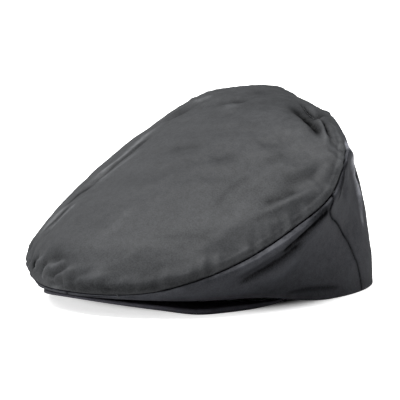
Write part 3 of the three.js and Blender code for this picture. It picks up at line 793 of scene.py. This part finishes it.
class CAP_OT_top_panel(Operator):
    """Adds the one-piece top of the crown, rolled down at its rim and gathered at the nose."""

    bl_idname = "cap.top_panel"
    bl_label = "Add the top panel"

    def execute(self, context):
        sizes = context.scene.cap_sizes
        directions = np.linspace(0, 360, sizes.directions, endpoint=False)
        start = CROWN["roll_start"]
        inner_rings = round(sizes.rings * 0.6)
        alongs = np.r_[
            np.linspace(0.004, start, inner_rings, endpoint=False),
            start + (1 - start) * np.sin(np.linspace(0, math.pi / 2, sizes.rings - inner_rings)),
        ]
        along, direction = np.meshgrid(alongs, directions, indexing="ij")
        from_seam = run_lengths(top_point(direction, along)[::-1], 0)[::-1]
        place, normal, lift = top_surface(sizes, direction, along, from_seam)
        # Painted highlights and shade along the lines of the top's table.
        painted_shading = fold_height(place, normal, TOP_PAINTED_SHADING, top_point, fade=0.22)
        _, rounding = edge_share(place, 0, sizes.rim_round / MM)
        skins = two_skins(place, normal, sizes.cloth / MM, rounding)
        hubs = np.array([skins[0][0].mean(0), skins[1][0].mean(0)])
        points = np.concatenate([skin.reshape(-1, 3) for skin in skins] + [hubs])
        rows, columns = place.shape[:2]
        quads = faces_of(rows, columns, ring=True)
        count = rows * columns
        # A fan of triangles closes each skin at the middle of the top.
        a = np.arange(columns)
        b = (a + 1) % columns
        hub = np.full(columns, 2 * count)
        fans = np.concatenate([np.stack([hub, a, b], 1), np.stack([hub + 1, count + b, count + a], 1)])
        # The seam's edge painted paler: rubbed wax and painted highlight.
        edge = painted_shading + edge_wear_and_shading("seam", from_seam)
        looks = {
            "crease": np.r_[np.tile((lift * FOLD_SHADING_SHARE).ravel(), 2), 0, 0],
            "edge": np.r_[np.tile(edge.ravel(), 2), 0, 0],
        }
        cloth = cloth_for("waxed_top_cloth")
        piece = add_mesh("top_cloth_panel", points, [quads, fans], points[:, :2], looks, cloth)
        finish_piece(piece, "top_panel")
        return {"FINISHED"}


def through_wall(direction, along):
    """Unit way out through the cloth of a wall: level, but up to 75 degrees upwards where the wall puffs
    out under its seam, and downwards where it is tucked in at the hem."""
    puff = smooth(seam("out", direction) / 6) * (1 - smooth((along - 1) / 0.4))
    tuck = smooth(lower_edge(direction)["belly"] / 6) * smooth((along - 1.6) / 0.4)
    tilt = np.radians(75) * (puff - tuck)
    level = in_direction(direction, np.cos(tilt), np.zeros_like(tilt)) - np.array([0, HUB_Y, 0])
    return level + np.array([0, 0, 1.0]) * np.sin(tilt)[..., None]


def wall_piece(context, name, node, sign, first, last):
    """One wall panel between two bounds, each a direction as a function of the way along: the wall's
    surface, lifted by its folds, creases, gathers and hem band. Sign -1 puts it on the wearer's right."""
    sizes = context.scene.cap_sizes
    alongs = spaced(sizes.wall_rows, 1.0, 2.0, tight=0.75)
    shares = spaced(sizes.wall_columns, 0.0, 1.0, tight=0.45)
    along, share = np.meshgrid(alongs, shares, indexing="ij")
    # Half the gap as an angle, 90 mm from the hub line.
    inset = sizes.seam_gap / MM / 2 / math.radians(90)
    low, high = first(along) + inset, last(along) - inset
    direction = sign * (low + (high - low) * share)
    if sign < 0:
        direction = direction[:, ::-1]
    place = wall_point(direction, along)
    normal = wall_outward(direction, along)
    from_seam = run_lengths(place, 0)
    from_hem = from_seam[-1:] - from_seam
    across = run_lengths(place, 1)
    from_side = np.minimum(across, across[:, -1:] - across)
    fade = smooth(from_seam / 5.0) * smooth(from_hem / 3.0)
    folds = fold_height(place, normal, WALL_FOLDS, wall_point)
    small = crumple(place, seed=11, wave=44.0, across=(0.4, 0.2, 1.2)) * 0.45 * sizes.crumple / MM
    away = np.abs(direction)
    band = HEM_BAND["proud"] * smooth((along - HEM_BAND["start"]) / HEM_BAND["rise"])
    band = band * smooth((away - HEM_BAND["from"]) / HEM_BAND["over"])
    # The gathers die down where the wall is low, as beside the nose.
    tall = smooth((from_seam + from_hem - 14) / 20)
    pucker = gathers(direction, from_seam, reach=6.0) * 0.6 * tall * sizes.gather / MM
    lift = fade * (folds + small) + band + pucker
    place = place + normal * lift[..., None]
    thick = through_wall(direction, along)
    radius = sizes.rim_round / MM
    rounding = np.min([*edge_share(place, 0, radius), *edge_share(place, 1, radius)], axis=0)
    skins = two_skins(place, thick, sizes.cloth / MM, rounding)
    points = np.concatenate([skin.reshape(-1, 3) for skin in skins])
    quads = faces_of(*place.shape[:2], ring=False)
    # The weave runs round the wall, 95 mm from the hub line, and down it.
    flat = np.stack([np.radians(direction) * 95.0, from_seam], -1).reshape(-1, 2)
    # Painted highlights and shade along the lines of the wall's table.
    painted_shading = fold_height(place, normal, WALL_PAINTED_SHADING, wall_point, fade=0.12)
    # The hem painted paler, rubbed wax and painted highlight; the panel's sides painted darker, the shade
    # of the seams.
    edge = painted_shading + edge_wear_and_shading("hem", from_hem) + edge_wear_and_shading("side", from_side)
    looks = {
        "crease": np.tile(((lift - band) * FOLD_SHADING_SHARE).ravel(), 2),
        "edge": np.tile(edge.ravel(), 2),
    }
    cloth = cloth_for("waxed_wall_cloth")
    piece = add_mesh(name, points, [quads], np.tile(flat, (2, 1)), looks, cloth)
    finish_piece(piece, node)


def side_back(along):
    """Direction of the seam between side and back panel at a way along."""
    return curve_through(SIDE_BACK_SEAM, "along", "direction", along)


def centre_back(along):
    """Direction of the centre-back seam at a way along."""
    return np.full_like(along, 180.0)


class CAP_OT_side_panels(Operator):
    """Adds the left and right side panels, from the nose to the slanting side-back seams."""

    bl_idname = "cap.side_panels"
    bl_label = "Add the side panels"

    def execute(self, context):
        for side, sign in (("left", 1), ("right", -1)):
            names = f"side_cloth_{side}", f"side_panel_{side}"
            wall_piece(context, *names, sign, np.zeros_like, side_back)
        return {"FINISHED"}


class CAP_OT_back_panels(Operator):
    """Adds the two back panels, from the side-back seams to the centre-back seam."""

    bl_idname = "cap.back_panels"
    bl_label = "Add the back panels"

    def execute(self, context):
        for side, sign in (("left", 1), ("right", -1)):
            names = f"back_cloth_{side}", f"back_panel_{side}"
            wall_piece(context, *names, sign, side_back, centre_back)
        return {"FINISHED"}


class CAP_OT_peak(Operator):
    """Adds the stiff cloth-covered peak under the nose: a closed profile of a flat top, a half round rim
    and a flat underside, carried round the front."""

    bl_idname = "cap.peak"
    bl_label = "Add the peak"

    def execute(self, context):
        corner, columns_across, points_inwards, points_round_rim = 79, 180, 26, 10
        direction = np.linspace(-corner, corner, columns_across + 1)
        away = np.abs(direction)
        columns = ("reach", "height", "thick", "inner")
        at = {name: curve_through(PEAK, "direction", name, away)[:, None] for name in columns}
        at["height"] = np.maximum(0, at["height"])
        go = np.linspace(0, 1, points_inwards)[None, :]
        radius = at["thick"] / 2
        r_top = at["inner"] + (at["reach"] - radius - at["inner"]) * go
        tilt = np.linspace(math.pi / 2, -math.pi / 2, points_round_rim + 2)[None, 1:-1]
        r_rim = at["reach"] - radius + radius * np.cos(tilt)
        z_rim = at["height"] + radius + radius * np.sin(tilt)
        r = np.concatenate([r_top, r_rim, r_top[:, ::-1]], 1)
        ones = np.ones_like(r_top)
        z = np.concatenate([(at["height"] + at["thick"]) * ones, z_rim, at["height"] * ones], 1)
        loops = in_direction(direction[:, None], r, z)
        count, size = r.shape
        i, j = np.indices((count - 1, size)).reshape(2, -1)
        a, b = i * size + j, i * size + (j + 1) % size
        quads = np.stack([a, b, b + size, a + size], 1)
        # Quads from the top to the underside close the profile at both corners of the peak.
        j = np.arange(size // 2 - 1)
        ends = []
        for loop, turn in ((0, True), (count - 1, False)):
            quad = np.stack([j, j + 1, size - 2 - j, size - 1 - j], 1) + loop * size
            ends.append(quad[:, ::-1] if turn else quad)
        points = loops.reshape(-1, 3)
        from_rim = (at["reach"] - r).ravel()
        # The rim painted paler: painted highlight where the rolled edge catches the light, with rubbed
        # wax.
        looks = {"crease": np.zeros(len(points)), "edge": edge_wear_and_shading("rim", from_rim)}
        cloth = cloth_for("waxed_peak_cloth")
        piece = add_mesh("peak_cloth_board", points, [quads, *ends], points[:, :2], looks, cloth)
        finish_piece(piece, "peak")
        return {"FINISHED"}


def thread_tubes(paths, up, radius, power=6):
    """Tubes of thread, one for each path of points: rings of points round the path, whose radius is
    (1 - t^power)^0.5 of the thread's own with t from -1 to 1 along it, so that both ends close. No path
    may run in the direction up."""
    count, size = paths.shape[:2]
    sides = 6
    run = unit(np.gradient(paths, axis=1))
    side = unit(np.cross(run, up))
    other = np.cross(side, run)
    t = np.linspace(-1, 1, size)
    grow = radius * np.sqrt(1 - t**power)[None, :, None, None]
    turn = np.linspace(0, 2 * math.pi, sides, endpoint=False)[:, None]
    around = side[:, :, None] * np.cos(turn) + other[:, :, None] * np.sin(turn)
    points = paths[:, :, None] + around * grow
    n, i, j = np.indices((count, size - 1, sides)).reshape(3, -1)
    ring = (n * size + i) * sides
    after = ring + sides
    k = (j + 1) % sides
    return points.reshape(-1, 3), np.stack([ring + j, ring + k, after + k, after + j], 1)


def stitch_paths(sizes, direction, along, pitch, length):
    """Arches of thread of that length in a row along a line on the top, a pitch apart: each starts and
    ends 0.22 mm under the cloth and rises by a half sine 0.42 mm high."""
    # The row is far enough from the seam, 20 mm, for the folds to count in full.
    line, normal, _ = top_surface(sizes, direction, along, np.full_like(direction, 20.0))
    reached = np.r_[0, np.cumsum(np.linalg.norm(np.diff(line, axis=0), axis=1))]
    starts = np.arange(0.5, reached[-1] - length, pitch)
    t = np.linspace(0, 1, 7)
    at = starts[:, None] + length * t
    lift = 0.42 * np.sin(math.pi * t) - 0.22
    paths = np.stack([np.interp(at, reached, axis) for axis in line.T], -1)
    outward = np.stack([np.interp(at, reached, axis) for axis in normal.T], -1)
    return paths + outward * lift[:, None]


class CAP_OT_seam_cords(Operator):
    """Adds the rolled seam allowances just inside the seams, which close them to light: round cords along
    the top's seam, the two side-back seams and the centre-back seam."""

    bl_idname = "cap.seam_cords"
    bl_label = "Add the seam allowances"

    def execute(self, context):
        direction = np.linspace(-180.5, 180.5, 400)
        ring = in_direction(direction, seam("reach", direction) - 1.5, seam("height", direction) - 0.5)
        points, faces = thread_tubes(ring[None], np.array([0, 0, 1.0]), CORD_RADIUS["top"])
        along = np.linspace(1.01, 2.0, 160)
        lines = [(side_back(along), along), (-side_back(along), along), (centre_back(along), along)]
        paths = [wall_point(*line) - 1.25 * through_wall(*line) for line in lines]
        up = np.array([0.6, 1.0, 0.1])
        more, more_faces = thread_tubes(np.array(paths), up, CORD_RADIUS["wall"], power=60)
        faces = np.concatenate([faces, more_faces + len(points)])
        points = np.concatenate([points, more])
        # Painted near black, as painted shade at the bottom of a seam.
        looks = {"crease": np.zeros(len(points)), "edge": np.full(len(points), -1.5)}
        cloth = cloth_for("waxed_peak_cloth")
        piece = add_mesh("seam_allowances", points, [faces], points[:, :2], looks, cloth)
        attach(piece, "root")
        return {"FINISHED"}


def loose_end(direction, along, curl, rise):
    """The path of a thread end that leaves the seam, 0.7 mm off the cloth: 4.6 radians of an upright
    circle along the seam, flattened to 0.6 of its height, which climbs by rise on the way."""
    t = np.linspace(0, 1, 22)
    start = top_point(np.array([direction]), np.array([along]))[0]
    out = in_direction(np.array([direction]), 1.0, 0.0)[0] - np.array([0, HUB_Y, 0])
    sideways = np.array([-out[1], out[0], 0])
    swing = curl * (1 - np.cos(4.6 * t))
    climb = curl * np.sin(4.6 * t) * 0.6 + rise * t
    return start + out * 0.7 + np.outer(swing, sideways) + np.outer(climb, [0, 0, 1.0])


class CAP_OT_stitches(Operator):
    """Adds the row of stitches at the rear notch and the loose thread ends of the near seam."""

    bl_idname = "cap.stitches"
    bl_label = "Add the stitches"

    def execute(self, context):
        t = np.linspace(0, 1, 60)
        sizes = context.scene.cap_sizes
        row = stitch_paths(sizes, 158 - 30 * t, 0.668 + 0.066 * t, pitch=3.0, length=2.0)
        points, faces = thread_tubes(row, np.array([0.3, -0.2, 1.0]), THREAD_RADIUS["stitch"])
        ends = np.array([loose_end(**end) for end in LOOSE_ENDS])
        more, more_faces = thread_tubes(ends, np.array([1.0, 0.9, 0.1]), THREAD_RADIUS["end"])
        faces = np.concatenate([faces, more_faces + len(points)])
        points = np.concatenate([points, more])
        # They are painted paler than the cloth: painted highlight, as on a raised fold.
        looks = {"crease": np.full(len(points), 0.5), "edge": np.full(len(points), 0.6)}
        cloth = cloth_for("waxed_top_cloth")
        piece = add_mesh("top_threads", points, [faces], points[:, :2], looks, cloth)
        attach(piece, "root")
        return {"FINISHED"}


class CAP_OT_stage(Operator):
    """Adds the floor, the soft light and the camera."""

    bl_idname = "cap.stage"
    bl_label = "Add the stage"

    def execute(self, context):
        scene = context.scene
        reach = FLOOR_REACH
        mesh = bpy.data.meshes.new("floor")
        corners = [(-reach, -reach, 0), (reach, -reach, 0), (reach, reach, 0), (-reach, reach, 0)]
        mesh.from_pydata(corners, [], [(0, 1, 2, 3)])
        floor = bpy.data.objects.new("floor", mesh)
        context.collection.objects.link(floor)
        paint = bpy.data.materials.new("floor")
        paint.use_nodes = True
        floor_paint(paint.node_tree, scene.cap_colours.floor)
        mesh.materials.append(paint)
        scene.world = studio_world()
        for light in LIGHTS:
            add_sun(*light)
        camera = bpy.data.cameras.new("camera")
        camera.lens = CAMERA["lens"]
        camera.sensor_width = CAMERA["sensor"]
        camera.clip_start, camera.clip_end = CAMERA["near"], CAMERA["far"]
        eye = bpy.data.objects.new("camera", camera)
        context.collection.objects.link(eye)
        back = from_angles(CAMERA["azimuth"], CAMERA["elevation"])
        eye.location = Vector(CAMERA["looks_at"]) + back * CAMERA["distance"]
        eye.rotation_euler = (-back).to_track_quat("-Z", "Y").to_euler()
        scene.camera = eye
        scene.view_settings.view_transform = "Standard"
        return {"FINISHED"}


def floor_paint(tree, colour):
    """Floor with painted light: the camera sees it pale and matt, with a glow that starts 68 mm from its
    middle, outside the cap's foot, which washes out the cap's shadow there but lights nothing; the cap
    gets only what a duller floor throws back."""
    tree.nodes.clear()
    place = add_node(tree, "ShaderNodeTexCoord")["Object"]
    reach = add_node(tree, "ShaderNodeVectorMath", operation="LENGTH", in_0=place)["Value"]
    glow = add_node(
        tree, "ShaderNodeMapRange", interpolation_type="SMOOTHSTEP", in_Value=reach,
        in_From_Min=0.068, in_From_Max=0.1, in_To_Min=0.0, in_To_Max=0.7)[0]
    light = add_node(tree, "ShaderNodeEmission", in_Strength=glow)[0]
    pale = add_node(tree, "ShaderNodeBsdfDiffuse", in_Color=(*colour, 1))[0]
    both = add_node(tree, "ShaderNodeAddShader", in_0=pale, in_1=light)[0]
    dull = add_node(tree, "ShaderNodeBsdfDiffuse", in_Color=(0.7, 0.7, 0.7, 1))[0]
    seen = add_node(tree, "ShaderNodeLightPath")["Is Camera Ray"]
    mix = add_node(tree, "ShaderNodeMixShader", in_0=seen, in_1=dull, in_2=both)[0]
    add_node(tree, "ShaderNodeOutputMaterial", in_Surface=mix)


def from_angles(azimuth, elevation):
    """The direction from the cap towards a place at that azimuth and elevation, in degrees."""
    a, e = math.radians(azimuth), math.radians(elevation)
    return Vector((math.sin(a) * math.cos(e), -math.cos(a) * math.cos(e), math.sin(e)))


def add_sun(name, strength, spread, azimuth, elevation):
    """An even light from a direction, as broad as its spread in degrees."""
    light = bpy.data.lights.new(name, "SUN")
    light.energy = strength
    light.angle = math.radians(spread)
    lamp = bpy.data.objects.new(name, light)
    lamp.rotation_euler = from_angles(azimuth, elevation).to_track_quat("Z", "Y").to_euler()
    bpy.context.collection.objects.link(lamp)


def studio_world():
    """The camera sees plain white. The cap is lit by a bright sweep round the horizon that gets dark
    upwards, and on the side of the wearer's left and the rear it is darkened by a board."""
    world = bpy.data.worlds.new("studio")
    world.use_nodes = True
    tree = world.node_tree
    tree.nodes.clear()
    towards = add_node(tree, "ShaderNodeTexCoord")["Generated"]
    height = add_node(tree, "ShaderNodeSeparateXYZ", in_0=towards)["Z"]
    sweep = add_node(
        tree, "ShaderNodeMapRange", in_Value=height,
        in_From_Min=0.0, in_From_Max=0.35, in_To_Min=1.15, in_To_Max=0.1)[0]
    board = add_node(
        tree, "ShaderNodeVectorMath", operation="DOT_PRODUCT",
        in_0=towards, in_1=(0.87, 0.5, 0.0))["Value"]
    shade = add_node(
        tree, "ShaderNodeMapRange", interpolation_type="SMOOTHSTEP", in_Value=board,
        in_From_Min=-0.2, in_From_Max=0.7, in_To_Min=1.0, in_To_Max=0.12)[0]
    strength = maths(tree, "MULTIPLY", sweep, shade)
    light = add_node(tree, "ShaderNodeBackground", in_Color=(1, 1, 1, 1), in_Strength=strength)[0]
    white = add_node(tree, "ShaderNodeBackground", in_Color=(1, 1, 1, 1), in_Strength=1.05)[0]
    seen = add_node(tree, "ShaderNodeLightPath")["Is Camera Ray"]
    mix = add_node(tree, "ShaderNodeMixShader", in_0=seen, in_1=light, in_2=white)[0]
    add_node(tree, "ShaderNodeOutputWorld", in_Surface=mix)
    return world


STEPS = (
    CAP_OT_top_panel,
    CAP_OT_side_panels,
    CAP_OT_back_panels,
    CAP_OT_peak,
    CAP_OT_seam_cords,
    CAP_OT_stitches,
    CAP_OT_stage,
)


class CAP_PT_panel(Panel):
    """Lists the cap's sizes, its colours and its pieces."""

    bl_idname = "CAP_PT_panel"
    bl_label = "Flat cap"
    bl_space_type = "VIEW_3D"
    bl_region_type = "UI"
    bl_category = "Cap"

    def draw(self, context):
        layout = self.layout
        for settings in (context.scene.cap_sizes, context.scene.cap_colours):
            column = layout.column(align=True)
            for name in settings.__annotations__:
                column.prop(settings, name)
        for step in STEPS:
            layout.operator(step.bl_idname)


CLASSES = (CapSizes, CapColours, *STEPS, CAP_PT_panel)


def register():
    """Makes Blender know the classes, and hangs the settings on the scene."""
    for cls in CLASSES:
        bpy.utils.register_class(cls)
    bpy.types.Scene.cap_sizes = PointerProperty(type=CapSizes)
    bpy.types.Scene.cap_colours = PointerProperty(type=CapColours)


def unregister():
    """Takes back what register did."""
    del bpy.types.Scene.cap_colours
    del bpy.types.Scene.cap_sizes
    for cls in reversed(CLASSES):
        bpy.utils.unregister_class(cls)


def main():
    """Builds every piece and the stage."""
    register()
    for step in STEPS:
        group, name = step.bl_idname.split(".")
        getattr(getattr(bpy.ops, group), name)()
    bpy.context.view_layer.update()


if __name__ == "__main__":
    main()
